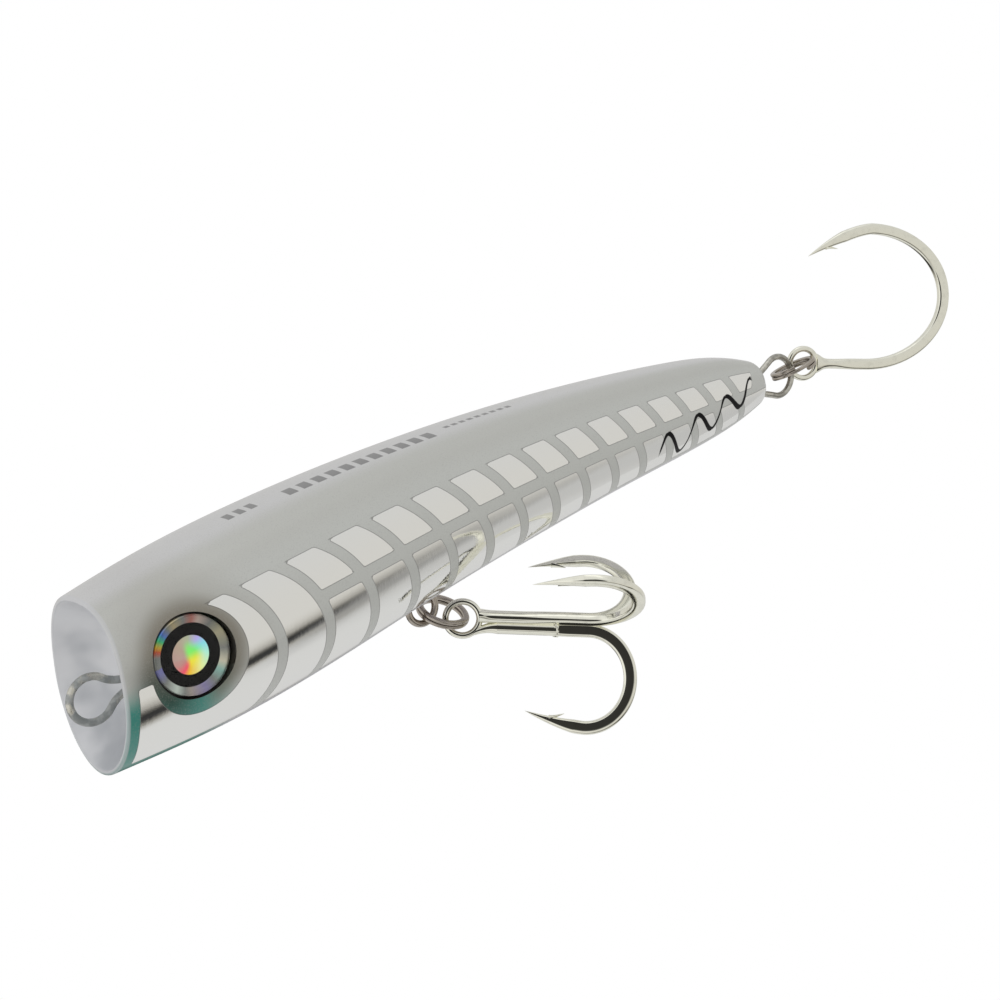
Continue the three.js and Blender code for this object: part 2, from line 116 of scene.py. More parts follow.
# Half of the hanger from its butt joint down: forward, to the side, and up from the through wire.
HANGER_HALF = [(0, 0.25, 2.6), (0, 1.5, 2.1), (0, 2.1, 0), (0.6, 1.9, -3), (1.9, 1.1, -6.5), (3, 0.3, -9.5)]
RING = {"radius": 5.3, "wide": 0.65, "thick": 0.44, "pitch": 0.98, "turns": 1.9}
BELLY_RING = {"centre": (-81.3, 0.1, -18.15), "axis": (-0.288, 0.45, 0.845), "start": 2.3}
TAIL_RING = {"centre": (-200.7, -0.95, -0.87), "axis": (0.123, -0.222, 0.967), "start": 1.2}
TREBLE = {
    "eye": (-83.15, 4.25, -19.8), "along": (-0.758, 0.598, -0.261), "down": (0.339, 0.02, -0.94),
    "wide": 1.2, "forged": 1.45, "flat": 0.95, "shank": 1.34, "bend": 27.4, "reach": 9.5, "gape": 23,
    "tip_back": 13.1, "tip_in": 19.7,
}
SINGLE = {
    "eye": (-204.8, -1.4, -0.87), "along": (-0.894, 0.344, -0.287), "down": (-0.3, 0.018, 0.954),
    "wide": 1.25, "forged": 1.4, "flat": 1.0, "shank": 0, "bend": 17.7, "reach": 21.8, "gape": 34.5,
    "tip_back": 17.6, "tip_in": 27,
}
HOOK_EYE = {"radius": 3.7, "wire": 0.72}
SHANK_START = HOOK_EYE["radius"] - 0.1
POINT = 11.0  # length over which a hook tapers to its point
BLUNT = 0.03  # share of its width that a hook keeps at the point
FORGED = (0.45, 0.85)  # shares of the shank's length over which the round wire becomes flat
FLARE = 1.7  # length over which a hook's neck widens to its eye
BARB = {"back": 6.6, "long": 3.0, "rise": 1.75, "root": 0.42}
NECK = {"start": 2.5, "drop": 1.3, "wide": 0.62, "widens": 0.75, "thick": 0.72, "thickens": 0.7}
BRAZE = {"start": 7.5, "end": 20.3, "drop": 0.35, "tilt": math.radians(24), "wide": 1.42, "thick": 1.5}
BEAD = (0.95, 1.62, 1.72)  # half sizes of the braze's rough end: along, down and across
SHARP = math.radians(35)  # edges sharper than this stay sharp

# The floor and the camera.
FLOOR_DROP = 120  # below the hanger's loop
FLOOR_REACH = 4000
CAMERA = {
    "place": (101.83, 297.55, 106.27), "azimuth": 145.47, "elevation": 16.41, "roll": 13.47, "lens": 61.2,
}

# Colours round the pupil, and glints round the silver rim with plain grey between them; the first
# number is a share of the way round.
PUPIL = [
    (0.0, 198, 168, 158), (0.1, 206, 150, 144), (0.18, 255, 90, 116), (0.23, 255, 206, 60),
    (0.36, 244, 255, 170), (0.5, 190, 255, 232), (0.6, 150, 236, 248), (0.68, 192, 182, 250),
    (0.77, 186, 194, 166), (0.9, 192, 172, 152), (1.0, 198, 168, 158),
]
GLINTS = [
    (0.02, 150, 152, 214), (0.13, 236, 250, 240), (0.2, 196, 186, 178), (0.27, 168, 160, 206),
    (0.37, 176, 226, 214), (0.41, 250, 246, 220), (0.55, 232, 226, 190), (0.67, 250, 226, 214),
    (0.7, 226, 150, 140), (0.79, 206, 190, 150), (0.85, 110, 150, 240), (0.88, 90, 236, 150),
    (0.905, 250, 210, 80), (0.925, 240, 110, 80),
]
PLAIN = (0.07, 0.17, 0.32, 0.47, 0.61, 0.74, 0.82, 0.95, 1)

# The studio's brightness by elevation in degrees, then its warmth if any: the sky, and three ways in
# which it goes on below the horizon.
SKY = [(-18, 0.66, 0.02), (35, 0.66), (60, 0.8), (90, 1.15)]
DARK = [
    (-90, 0.7), (-62, 0.68), (-55, 0.5, 0.02), (-51, 0.22, 0.05), (-47, 0.03), (-40, 0.02),
    (-36, 0.1, 0.05), (-31, 0.36, 0.04), (-24, 0.56, 0.03),
]
FADED = [
    (-90, 0.7), (-57, 0.68), (-52, 0.56), (-47, 0.34, 0.02), (-42, 0.3, 0.01), (-38, 0.32, 0.01),
    (-33, 0.4, 0.02), (-21, 0.58, 0.02),
]
BRIGHT = [(-90, 0.7), (-40, 0.66), (-30, 0.62)]

# The frame places everything: the left eye disc's middle is the eye's place on the body.
disc_low, disc_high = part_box("left_eye_disc")
SHIFT = np.array((disc_low + disc_high) / 2) * 1000 - np.array((-EYE_AFT, 0, EYE_UP))
SHIFT[1] = 0


def to_row(points):
    return (np.asarray(points, float) + SHIFT) / 1000


# ---- shapes


def unit(vector):
    return vector / np.linalg.norm(vector)


def spline(stations, values):
    """A natural cubic spline through values at stations, as a function."""
    x = np.array(stations, float)
    y = np.array(values, float)
    gap = np.diff(x)
    matrix = np.eye(len(x))
    right = np.zeros(len(x))
    for i in range(1, len(x) - 1):
        matrix[i, i - 1 : i + 2] = gap[i - 1], 2 * (gap[i - 1] + gap[i]), gap[i]
        right[i] = 6 * ((y[i + 1] - y[i]) / gap[i] - (y[i] - y[i - 1]) / gap[i - 1])
    bend = np.linalg.solve(matrix, right)

    def value(at):
        i = np.clip(np.searchsorted(x, at, side="right") - 1, 0, len(x) - 2)
        a = (x[i + 1] - at) / gap[i]
        b = 1 - a
        curve = (a**3 - a) * bend[i] + (b**3 - b) * bend[i + 1]
        return a * y[i] + b * y[i + 1] + curve * gap[i] ** 2 / 6

    return value


back = spline(STATIONS, BACK)
belly = spline(STATIONS, BELLY)
band_front = spline(*zip(*BAND_FRONT))


def smooth_step(value, low, high):
    share = np.clip((value - low) / (high - low), 0, 1)
    return share * share * (3 - 2 * share)


def section(angle):
    """Width and height of the body's section, as shares, at an angle up from its side."""
    sine = np.sin(angle)
    upper = smooth_step(sine, -ROUNDNESS_BLEND, ROUNDNESS_BLEND)
    power = BELLY_ROUNDNESS + (BACK_ROUNDNESS - BELLY_ROUNDNESS) * upper
    cosine = np.cos(angle)
    radius = (np.abs(cosine) ** power + np.abs(sine) ** power) ** (-1 / power)
    return radius * cosine, radius * sine


def middle(aft):
    return (back(aft) - belly(aft)) / 2


def half_height(aft):
    return (back(aft) + belly(aft)) / 2


def rim_slant(aft, share, wide, high):
    """How far aft of a flat mouth the slanted, dished rim carries a point."""
    dish = RIM_DISH_HIGH * high**2 + RIM_DISH_WIDE * wide**2
    fade = np.clip(1 - aft / RIM_FADE, 0, 1) ** 2
    return (RIM_SLANT * high * share + dish * share**2) * fade


def body_point(aft, share, angle, inset=0.0):
    """A point of the body at an aft station, a share of the radius and an angle up from its side."""
    aft, share, angle = np.broadcast_arrays(*(np.asarray(v, float) for v in (aft, share, angle)))
    within = np.clip(aft, 0, LENGTH)
    wide, high = section(angle)
    half = half_height(within)
    x = -(aft + rim_slant(within, share, wide, high))
    y = (half * WIDTH_TO_HEIGHT - inset) * share * wide
    z = middle(within) + (half - inset) * share * high
    return np.stack([x, y, z], -1)


def body_place(points):
    """The aft station, share of the radius and angle of points on or in the body."""
    x, y, z = points.T
    aft = np.clip(-x, 0, LENGTH)
    for _ in range(12):
        half = half_height(aft)
        wide = np.abs(y) / (half * WIDTH_TO_HEIGHT)
        high = (z - middle(aft)) / half
        angle = np.arctan2(high, wide)
        full = section(angle)
        share = np.hypot(wide, high) / np.hypot(*full)
        aft = np.clip(-x - rim_slant(aft, share, *full), 0, LENGTH)
    return aft, share, angle


def cup_depth(share):
    return CUP_DEPTH * (1 - (share / RIM_INNER) ** CUP_SQUARENESS)


def bezier(a, b, c, count):
    t = np.linspace(0, 1, count)[:, None]
    return (1 - t) ** 2 * np.array(a) + 2 * t * (1 - t) * np.array(b) + t**2 * np.array(c)


def outer_outline():
    """(share of the radius, aft) from the cup's middle over the rim and along the side."""
    lip = LIP / RIM_RADIUS
    cup = np.linspace(0, RIM_INNER - lip / 2, 40)
    cup = np.stack([cup, cup_depth(cup)], -1)
    inner = bezier(cup[-1], (RIM_INNER, 0), (RIM_INNER + lip / 2, 0), 6)[1:]
    outer = bezier((1 - lip, 0), (1, 0), (1, LIP), 7)
    side_end = LENGTH - TAIL_ROUND
    side = np.stack([np.ones(320), np.linspace(LIP, side_end, 321)[1:]], -1)
    turn = np.linspace(0, math.pi / 2, 9)[1:]
    edge = np.stack([TAIL_SHARE + (1 - TAIL_SHARE) * np.cos(turn), side_end + TAIL_ROUND * np.sin(turn)], -1)
    end = np.stack([np.linspace(TAIL_SHARE, 0, 7)[1:], np.full(6, LENGTH)], -1)
    return np.concatenate([cup, inner, outer, side, edge, end])


# ---- meshes


def grid_faces(rows, columns, closed=False):
    """Quads between the points of a grid; closed joins its last column to its first."""
    faces = []
    for i in range(rows - 1):
        for j in range(columns if closed else columns - 1):
            k = (j + 1) % columns
            here, below = i * columns, (i + 1) * columns
            faces.append((here + j, here + k, below + k, below + j))
    return faces


def end_fans(rows, sides, pole):
    """Triangles that close a tube's two ends on the points pole and pole + 1."""
    tail = (rows - 1) * sides
    faces = []
    for j in range(sides):
        faces.append((pole, (j + 1) % sides, j))
        faces.append((pole + 1, tail + j, tail + (j + 1) % sides))
    return faces


def finished(bm):
    """The mesh that a bmesh holds, with its faces turned outward."""
    bmesh.ops.recalc_face_normals(bm, faces=bm.faces)
    mesh = bpy.data.meshes.new("shape")
    bm.to_mesh(mesh)
    bm.free()
    return mesh


def half_lathe(bm, outline, points_at, columns):
    """Half a turned shape, open at the seam; its outline starts and ends on the axis."""
    angles = np.linspace(-math.pi / 2, math.pi / 2, columns)
    rows = [[bm.verts.new(p) for p in points_at(share, aft, angles)] for share, aft in outline[1:-1]]
    for end, row in ((0, rows[0]), (-1, rows[-1])):
        share, aft = outline[end]
        pole = bm.verts.new(points_at(share, aft, angles[:1])[0])
        for a, b in zip(row, row[1:]):
            bm.faces.new((pole, a, b) if end == 0 else (pole, b, a))
    for upper, lower in zip(rows, rows[1:]):
        for j in range(columns - 1):
            bm.faces.new((upper[j], lower[j], lower[j + 1], upper[j + 1]))


def in_body(inset=0.0):
    """Points of the body's own section, a wall's thickness in from its skin."""
    return lambda share, aft, angles: body_point(aft, share, angles, inset)


def about_line(radius, up):
    """Points of a round pocket along the body."""

    def points(share, aft, angles):
        reach = share * radius
        return np.stack([np.full(len(angles), -aft), reach * np.cos(angles), up + reach * np.sin(angles)], -1)

    return points


def pocket(start, end):
    """A pocket's outline: share of its radius and aft station."""
    return [(0, start), (0.5, start), (1, start), (1, (start + end) / 2), (1, end), (0.5, end), (0, end)]


def shell_mesh():
    """The left shell: outer skin, pockets inside, and a flat seam face that joins them."""
    bm = bmesh.new()
    half_lathe(bm, outer_outline(), in_body(), 129)
    skin = len(bm.faces)
    for bay in BAYS:
        half_lathe(bm, pocket(*bay), in_body(WALL), 49)
    for start, end, radius, up in POCKETS:
        half_lathe(bm, pocket(start, end), about_line(radius, up), 33)
    bm.faces.ensure_lookup_table()
    bmesh.ops.reverse_faces(bm, faces=bm.faces[skin:])
    rim = [edge for edge in bm.edges if edge.is_boundary]
    bmesh.ops.triangle_fill(bm, edges=rim, use_beauty=False, use_dissolve=False, normal=(0, -1, 0))
    for vertex in bm.verts:
        vertex.co.y += SEAM
    return finished(bm)


def solid(vertices, faces):
    """A closed mesh from its vertices and faces."""
    rough = bpy.data.meshes.new("rough")
    rough.from_pydata([tuple(v) for v in vertices], [], [tuple(f) for f in faces])
    rough.validate()
    bm = bmesh.new()
    bm.from_mesh(rough)
    return finished(bm)


def vertex_points(mesh):
    points = np.empty(len(mesh.vertices) * 3)
    mesh.vertices.foreach_get("co", points)
    return points.reshape(-1, 3)


def write_values(mesh, **values):
    """Keeps named numbers on a mesh's vertices."""
    for name, value in values.items():
        attribute = mesh.attributes.new(name, "FLOAT", "POINT")
        attribute.data.foreach_set("value", value.astype(np.float32))


def placed(name, data):
    """A new object in the scene."""
    made = bpy.data.objects.new(name, data)
    bpy.context.scene.collection.objects.link(made)
    return made


def combined(first, second, operation="UNION"):
    """The boolean of two meshes, as a new mesh."""
    base, tool = (placed("work", mesh) for mesh in (first, second))
    cut = base.modifiers.new("cut", "BOOLEAN")
    cut.operation = operation
    cut.object = tool
    cut.solver = "EXACT"
    bpy.context.view_layer.update()
    graph = bpy.context.evaluated_depsgraph_get()
    made = bpy.data.meshes.new_from_object(base.evaluated_get(graph), depsgraph=graph)
    bpy.data.objects.remove(base)
    bpy.data.objects.remove(tool)
    return made


def lathe_y(outline, centre, sides):
    """A turned solid about an axis along Y; its outline is (radius, y)."""
    turn = np.linspace(0, 2 * math.pi, sides, endpoint=False)
    inner = outline[1:-1]
    x, z = centre
    rows = [np.stack([x + r * np.cos(turn), np.full(sides, y), z + r * np.sin(turn)], -1) for r, y in inner]
    poles = [(x, outline[k][1], z) for k in (0, -1)]
    vertices = np.concatenate([*rows, poles])
    faces = grid_faces(len(inner), sides, closed=True) + end_fans(len(inner), sides, len(vertices) - 2)
    return solid(vertices, faces)


def sweep(path, normal, wide, thick, squareness=2.0, sides=24, closed=False):
    """A bar along a path: wide is its half width in the plane that `normal` stands on, thick its half
    thickness along `normal`, and a squareness of 2 makes its section round."""
    count = len(path)
    if closed:
        tangent = np.roll(path, -1, 0) - np.roll(path, 1, 0)
    else:
        tangent = np.gradient(path, axis=0)
    tangent /= np.linalg.norm(tangent, axis=1)[:, None]
    across = np.cross(tangent, np.broadcast_to(normal, path.shape))
    across /= np.linalg.norm(across, axis=1)[:, None]
    up = np.cross(across, tangent)
    turn = (np.arange(sides) + 0.5) * 2 * math.pi / sides
    wide, thick, square = (np.broadcast_to(v, count)[:, None, None] for v in (wide, thick, squareness))
    c, s = (np.sign(v) * np.abs(v) ** (2 / square[:, 0]) for v in (np.cos(turn), np.sin(turn)))
    ring = across[:, None] * c[:, :, None] * wide + up[:, None] * s[:, :, None] * thick
    vertices = (path[:, None] + ring).reshape(-1, 3)
    faces = grid_faces(count, sides, closed=True)
    if closed:
        last = (count - 1) * sides
        faces += [(last + j, last + (j + 1) % sides, (j + 1) % sides, j) for j in range(sides)]
    else:
        faces += end_fans(count, sides, len(vertices))
        vertices = np.concatenate([vertices, path[[0, -1]]])
    return solid(vertices, faces)


def run_along(points):
    """The distance of each point of a polyline from its start."""
    return np.concatenate([[0], np.cumsum(np.linalg.norm(np.diff(points, axis=0), axis=1))])


def resampled(points, step):
    """Points an even distance apart along a polyline."""
    run = run_along(points)
    at = np.linspace(0, run[-1], int(run[-1] / step) + 1)
    return np.stack([np.interp(at, run, column) for column in points.T], -1)


def rounded(points, step):
    """A smooth curve through points, at an even spacing."""
    points = np.asarray(points, float)
    run = run_along(points)
    at = np.linspace(0, run[-1], int(run[-1] / step) + 1)
    return np.stack([spline(run, column)(at) for column in points.T], -1)


# ---- hooks, rings and wires


def hook_line(hook, start):
    """A hook in its own plane: along the shank, round the bend and back to the point."""
    centre = (hook["gape"] + hook["shank"]) / 2
    rise = (hook["gape"] - hook["shank"]) / 2
    turn = np.linspace(-math.pi / 2, math.pi / 2, 181)
    bend = np.stack([hook["bend"] + hook["reach"] * np.cos(turn), centre + rise * np.sin(turn)], -1)
    share = np.linspace(0, 1, 60)[1:]
    fall = (hook["gape"] - hook["tip_in"]) * share**1.5
    leg = np.stack([hook["bend"] - hook["tip_back"] * share, hook["gape"] - fall], -1)
    return resampled(np.concatenate([[(start, hook["shank"])], bend, leg]), 0.25)


def hook_axes(hook, turn):
    """A hook's eye and its directions along, down and across, turned about the shank."""
    along = unit(hook["along"])
    down = np.array(hook["down"])
    down = unit(down - along * down.dot(along))
    side = np.cross(along, down)
    down = down * math.cos(turn) + side * math.sin(turn)
    return np.array(hook["eye"]), along, down, np.cross(along, down)


def barb_path(line, at, half_width):
    """A barb's points in the hook's plane, rising backwards from the hook's inner side."""
    ahead = unit(line[at + 4] - line[at])
    inward = np.array((ahead[1], -ahead[0]))
    inward *= -np.sign(inward[1])
    share = np.linspace(0, 1, 12)[:, None]
    root = line[at] + inward * half_width * 0.6 + ahead * 1.2
    return root - ahead * BARB["long"] * share + inward * BARB["rise"] * share**1.3


def hook_mesh(hook, turn, start, neck=1.0):
    """A hook: a bar forged flat round the bend, with a long point and a small barb."""
    eye, along, down, axis = hook_axes(hook, turn)
    line = hook_line(hook, start)
    run = run_along(line)
    left = run[-1] - run
    forged = np.maximum.accumulate(smooth_step(line[:, 0], *np.multiply(FORGED, hook["bend"])))
    taper = np.maximum(np.clip(left / POINT, 0, 1) ** 0.85, BLUNT)
    wide = (hook["wide"] + (hook["forged"] - hook["wide"]) * forged) * taper
    thick = (hook["wide"] + (hook["flat"] - hook["wide"]) * forged) * taper
    wide = wide * (1 + (neck - 1) * np.exp(-((run / FLARE) ** 2)))
    squareness = 2 + 2 * forged * smooth_step(left, 3, POINT)
    body = sweep(eye + line @ (along, down), axis, wide, thick, squareness=squareness, sides=32)
    at = int(np.argmin(np.abs(left - BARB["back"])))
    spike = barb_path(line, at, wide[at])
    size = BARB["root"] * (1 - np.linspace(0, 1, len(spike))) ** 0.8 + BLUNT
    barb = sweep(eye + spike @ (along, down), axis, size, size * 1.5, sides=12)
    return combined(body, barb)


def hook_eye(hook, wide=HOOK_EYE["wire"], thick=HOOK_EYE["wire"], squareness=2.0):
    """The ring at the start of a hook's shank."""
    eye, along, down, axis = hook_axes(hook, 0)
    turn = np.linspace(0, 2 * math.pi, 96, endpoint=False)[:, None]
    circle = eye + HOOK_EYE["radius"] * (np.cos(turn) * along + np.sin(turn) * down)
    return sweep(circle, axis, wide, thick, squareness=squareness, sides=20, closed=True)


def treble_neck():
    """The flared bar between the treble's eye and its braze."""
    eye, along, down, axis = hook_axes(TREBLE, 0)
    share = np.linspace(0, 1, 24)
    run = NECK["start"] + (BRAZE["start"] - NECK["start"]) * share
    drop = TREBLE["shank"] + BRAZE["drop"] + NECK["drop"] * (1 - share) ** 2
    path = eye + run[:, None] * along + drop[:, None] * down
    wide = NECK["wide"] + NECK["widens"] * share
    thick = NECK["thick"] + NECK["thickens"] * share
    return sweep(path, axis, wide, thick, squareness=2.4, sides=28)


def treble_double():
    """The eye and the two upper hooks, over a flared neck."""
    made = combined(hook_eye(TREBLE), treble_neck())
    for turn in (2 * math.pi / 3, -2 * math.pi / 3):
        made = combined(made, hook_mesh(TREBLE, turn, SHANK_START, neck=1.5))
    return made


def lumpy_bead(centre, along, down, across):
    """A rough, slightly lumpy ball."""
    bm = bmesh.new()
    bmesh.ops.create_icosphere(bm, subdivisions=4, radius=1)
    for vertex in bm.verts:
        x, y, z = vertex.co
        lump = 1 + 0.13 * math.sin(5 * x + 2 * y) * math.sin(6 * z + 3 * y) + 0.07 * math.sin(15 * z - 9 * x)
        vertex.co = centre + lump * (BEAD[0] * x * along + BEAD[1] * y * down + BEAD[2] * z * across)
    return finished(bm)


def treble_third():
    """The lower hook: its shank lies in a flattened braze that ends in a rough bead."""
    hook = {**TREBLE, "shank": TREBLE["shank"] + BRAZE["drop"]}
    made = hook_mesh(hook, 0, BRAZE["start"] + 4)
    eye, along, down, axis = hook_axes(hook, 0)
    axis = axis * math.cos(BRAZE["tilt"]) + down * math.sin(BRAZE["tilt"])
    run = np.linspace(BRAZE["start"], BRAZE["end"], 50)
    path = eye + run[:, None] * along + (hook["shank"] - 0.1) * down
    sleeve = sweep(path, axis, BRAZE["wide"], BRAZE["thick"], squareness=2.7, sides=36)
    made = combined(made, sleeve)
    centre = eye + BRAZE["end"] * along + hook["shank"] * down
    return combined(made, lumpy_bead(centre, along, down, axis))


def single_hook():
    """The tail hook and its flattened eye."""
    eye = hook_eye(SINGLE, wide=0.74, thick=0.66, squareness=2.6)
    return combined(eye, hook_mesh(SINGLE, 0, SHANK_START, neck=2.0))


def split_ring(ring):
    """A flat wire coiled nearly twice round, with a cut end on each side."""
    up = unit(ring["axis"])
    first = unit(np.array((1.0, 0, 0)) - up * up[0])
    second = np.cross(up, first)
    turns = np.linspace(-RING["turns"] / 2, RING["turns"] / 2, 260)[:, None]
    angle = ring["start"] + 2 * math.pi * turns
    around = first * np.cos(angle) + second * np.sin(angle)
    path = np.array(ring["centre"]) + RING["radius"] * around + up * RING["pitch"] * turns
    return sweep(path, up, RING["wide"], RING["thick"], squareness=3.6)


def loop(place, facing):
    """Points round a loop of wire, centred on the direction it faces."""
    turn = facing + np.linspace(-place["sweep"], place["sweep"], LOOP_POINTS)
    radius = place["radius"]
    return [(-place["aft"] + radius * math.cos(a), 0, place["up"] + radius * math.sin(a)) for a in turn]


def strand(neck, inward, up):
    """A straight strand from a loop's neck; inward is 1 towards the nose."""
    return [(-neck + inward * distance, 0, up) for distance in STRAND_POINTS]


def through_wire():
    """One wire from loop to loop, pinched to two strands behind each."""
    nose_neck = NOSE_LOOP["aft"] + NOSE_LOOP["radius"] + NOSE_LOOP["neck"]
    tail_neck = TAIL_LOOP["aft"] - TAIL_LOOP["radius"] - TAIL_LOOP["neck"]
    points = strand(nose_neck, -1, NOSE_LOOP["up"] - STRAND)[::-1]
    points += loop(NOSE_LOOP, 0)
    points += strand(nose_neck, -1, NOSE_LOOP["up"] + STRAND)
    points += strand(tail_neck, 1, TAIL_LOOP["up"] + STRAND)[::-1]
    points += loop(TAIL_LOOP, math.pi)
    points += strand(tail_neck, 1, TAIL_LOOP["up"] - STRAND)
    return sweep(rounded(points, 0.35), (0, 1, 0), WIRE, WIRE, sides=28)


def belly_hanger():
    """The loop under the belly and the bend that hooks it over the through wire."""
    level = NOSE_LOOP["up"] + STRAND
    half = [(x, y, level + z) for x, y, z in HANGER_HALF]
    radius = HANGER["radius"]
    turn = np.linspace(0, math.pi / 2, 12)
    half += [(radius * math.cos(a), 0, HANGER["up"] - radius * math.sin(a)) for a in turn]
    whole = half + [(-x, -y, z) for x, y, z in half[-2::-1]]
    path = rounded([(x - HANGER["aft"], y, z) for x, y, z in whole], 0.25)
    tangent = np.gradient(path, axis=0)
    side = np.cross(tangent, (0, 1, 0.001))
    return sweep(path, np.cross(side, tangent), WIRE, WIRE)


# ---- the printed pattern


def near_max(a, b, corner=0.3):
    """The larger of two distances, with the corner between them rounded."""
    share = np.clip(0.5 - 0.5 * (b - a) / corner, 0, 1)
    return b + (a - b) * share + corner * share * (1 - share)


def past_band_edge(number, aft, height):
    """How far aft of a grey band's front edge a point lies."""
    top = band_front(number)
    radius = BAND_ARC["radius"] + BAND_ARC["radius_step"] * number
    centre_up = BAND_ARC["up"] + BAND_ARC["up_step"] * number
    top_up = middle(top) + PANEL_TOP * half_height(top)
    centre_aft = top - math.sqrt(radius**2 - (top_up - centre_up) ** 2)
    past = np.hypot(aft - centre_aft, height - centre_up) - radius
    return np.where(aft > centre_aft, past, -radius)


def stripe_edges(aft):
    """The heights of the side stripe's top and foot."""
    run = np.clip((aft - STRIPE["from"]) / STRIPE["over"], 0, 1)
    shares = (STRIPE[edge] - STRIPE[edge + "_fall"] * run for edge in ("top", "foot"))
    return [middle(aft) + share * half_height(aft) for share in shares]


def foil_depth(aft, height, share_high, angle):
    """How far inside a foil panel a point of the skin lies; negative outside."""
    half = half_height(aft)
    foot = PANEL_FOOT + PANEL_FOOT_RISE * smooth_step(aft, FOOT_RISES_FROM, LENGTH)
    outside = near_max((share_high - PANEL_TOP) * half * PANEL_TOP_SLOPE, (foot - angle) * half)
    for number in range(BANDS):
        past = past_band_edge(number, aft, height)
        outside = near_max(outside, BAND_WIDTH / 2 - np.abs(past - BAND_WIDTH / 2))
    stripe_top, stripe_foot = stripe_edges(aft)
    off_stripe = near_max(height - stripe_top, stripe_foot - height)
    outside = near_max(outside, -near_max(off_stripe, STRIPE["start"] - aft))
    outside = near_max(outside, SURROUND["radius"] - np.hypot(aft - SURROUND["aft"], height - SURROUND["up"]))
    lean = FOIL_FRONT["lean"] * smooth_step(height, FOIL_FRONT["low"], FOIL_FRONT["high"])
    outside = near_max(outside, FOIL_FRONT["aft"] + lean - aft)
    outside = near_max(outside, np.minimum(height - FRONT_PAINT["foot"], FRONT_PAINT["end"] - aft), 0.2)
    # The last panel above the stripe ends short of the tail, on a slant.
    past_last = aft - LAST_PANEL["end"] - LAST_PANEL["slant"] * height
    return -near_max(outside, np.minimum(past_last, height - stripe_foot))


def paint_body(mesh):
    """Gives the shell's vertices the numbers that its paint reads."""
    points = vertex_points(mesh)
    aft, share, angle = body_place(points)
    height = points[:, 2]
    eye_distance = np.hypot(points[:, 0] + EYE_AFT, height - EYE_UP)
    outer = np.abs(points[:, 1]) > SOCKET_FLOOR - 0.05
    write_values(
        mesh,
        foil=foil_depth(aft, height, section(angle)[1], angle),
        aft=aft,
        height=height,
        from_ridge=(math.pi / 2 - angle) * half_height(aft),
        angle=angle,
        share=share,
        eye_distance=eye_distance,
        socket=np.where(outer, SOCKET + 0.03 - eye_distance, -1),
    )


# ---- materials


def tone(*colour):
    """A display colour from 0 to 255, as the linear colour a shader takes."""
    linear = [c / 255 / 12.92 if c <= 10 else ((c / 255 + 0.055) / 1.055) ** 2.4 for c in colour]
    return (*linear, 1.0)


class Value:
    """A number inside a shader, so that its sums can be written out plainly."""

    def __init__(self, tree, socket):
        self.tree = tree
        self.socket = socket

    def math(self, operation, *others):
        node = self.tree.nodes.new("ShaderNodeMath")
        node.operation = operation
        for socket, item in zip(node.inputs, (self, *others)):
            feed(self.tree, socket, item)
        return Value(self.tree, node.outputs[0])

    def __add__(self, other):
        return self.math("ADD", other)

    def __sub__(self, other):
        return self.math("SUBTRACT", other)

    def __mul__(self, other):
        return self.math("MULTIPLY", other)

    def flipped(self):
        return self.math("MULTIPLY", -1.0) + 1.0

    def step(self, low, high):
        """0 below `low`, 1 above `high`, smooth between; the other way round if low > high."""
        if low > high:
            return self.step(high, low).flipped()
        node = self.tree.nodes.new("ShaderNodeMapRange")
        node.interpolation_type = "SMOOTHSTEP"
        node.inputs["From Min"].default_value = low
        node.inputs["From Max"].default_value = high
        feed(self.tree, node.inputs["Value"], self)
        return Value(self.tree, node.outputs["Result"])


def feed(tree, socket, item):
    if isinstance(item, Value):
        tree.links.new(item.socket, socket)
    else:
        socket.default_value = item


class Shader:
    """A tree of nodes, with short names for the few kinds used here."""

    def __init__(self, tree):
        self.tree = tree

    def node(self, kind, *inputs, **settings):
        """A new node with its settings made and its first inputs fed."""
        made = self.tree.nodes.new("ShaderNode" + kind)
        for name, setting in settings.items():
            setattr(made, name, setting)
        for socket, item in zip(made.inputs, inputs):
            feed(self.tree, socket, item)
        return made

    def value(self, node, output=0):
        return Value(self.tree, node.outputs[output])

    def attribute(self, name):
        return self.value(self.node("Attribute", attribute_name=name), "Fac")

    def position(self):
        return self.value(self.node("TexCoord"), "Object")

    def parts(self, vector):
        node = self.node("SeparateXYZ", vector)
        return [self.value(node, k) for k in range(3)]

    def facing(self):
        """How squarely a surface faces the camera, from 1 head on to 0 edge on."""
        normal = self.value(self.node("NewGeometry"), "Normal")
        spaces = {"convert_from": "WORLD", "convert_to": "CAMERA"}
        turned = self.value(self.node("VectorTransform", normal, vector_type="NORMAL", **spaces))
        view = self.value(self.node("CameraData"), "View Vector")
        product = self.node("VectorMath", turned, view, operation="DOT_PRODUCT")
        return self.value(product, "Value").math("ABSOLUTE")

    def noise(self, scale, detail=2.0, stretch=(1, 1, 1)):
        mapping = self.node("Mapping", self.position())
        mapping.inputs["Scale"].default_value = stretch
        node = self.node("TexNoise", self.value(mapping))
        node.inputs["Scale"].default_value = scale
        node.inputs["Detail"].default_value = detail
        return self.value(node, "Fac")

    def mix(self, share, first, second):
        node = self.node("Mix", share, data_type="RGBA")
        feed(self.tree, node.inputs[6], first)
        feed(self.tree, node.inputs[7], second)
        return self.value(node, 2)

    def ramp(self, share, stops):
        node = self.node("ValToRGB", share)
        elements = node.color_ramp.elements
        for k, (place, colour) in enumerate(stops):
            stop = elements[k] if k < 2 else elements.new(place)
            stop.position = place
            stop.color = colour
        return self.value(node, "Color")

    def bump(self, height, distance):
        node = self.node("Bump")
        node.inputs["Distance"].default_value = distance
        feed(self.tree, node.inputs["Height"], height)
        return self.value(node, "Normal")


